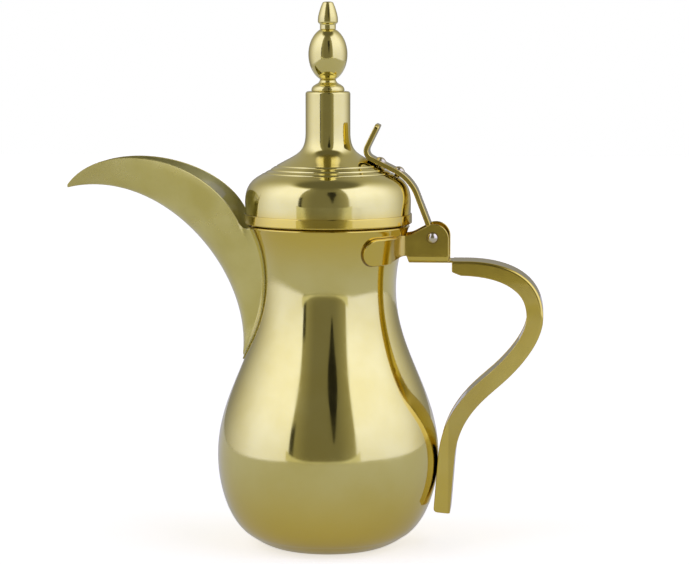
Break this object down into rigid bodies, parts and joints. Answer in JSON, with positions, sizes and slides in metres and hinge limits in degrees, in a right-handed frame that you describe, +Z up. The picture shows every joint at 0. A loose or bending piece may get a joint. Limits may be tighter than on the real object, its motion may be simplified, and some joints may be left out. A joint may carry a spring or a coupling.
{
  "type": "dallah coffee pot",
  "caption": "Polished brass coffee pot with a round belly, open curved spout, folded sheet handle and a hinged domed lid with a tall finial and a thumb lever.",
  "frame": {"origin": "centre of the flat base, on the body's axis", "axes": "+Z up, +X towards the handle, -X towards the spout, Y along the hinge pin"},
  "size_m": [0.2645, 0.1228, 0.3],
  "materials": {
    "brass": "polished pale gold brass",
    "plated_steel": "polished nickel-plated steel"
  },
  "bodies": {
    "pot": {"body_shell": "brass", "base_plate": "brass", "spout_left": "brass", "spout_right": "brass", "handle_frame": "brass", "handle_liner": "brass", "hinge_pin": "plated_steel"},
    "lid": {"lid_dome": "brass", "lid_band": "brass", "lid_collar": "brass", "lid_lever": "brass", "lever_rivets": "plated_steel", "finial_base": "brass", "finial_bulb": "brass", "finial_tip": "brass", "finial_stud": "plated_steel", "finial_washer": "plated_steel", "finial_nut": "plated_steel"}
  },
  "joints": [
    {"name": "lid_hinge", "type": "hinge", "parent": "pot", "child": "lid", "pos_m": [0.0582, 0, 0.172], "axis": [0, 1, 0], "range_deg": [0, 115]}
  ]
}
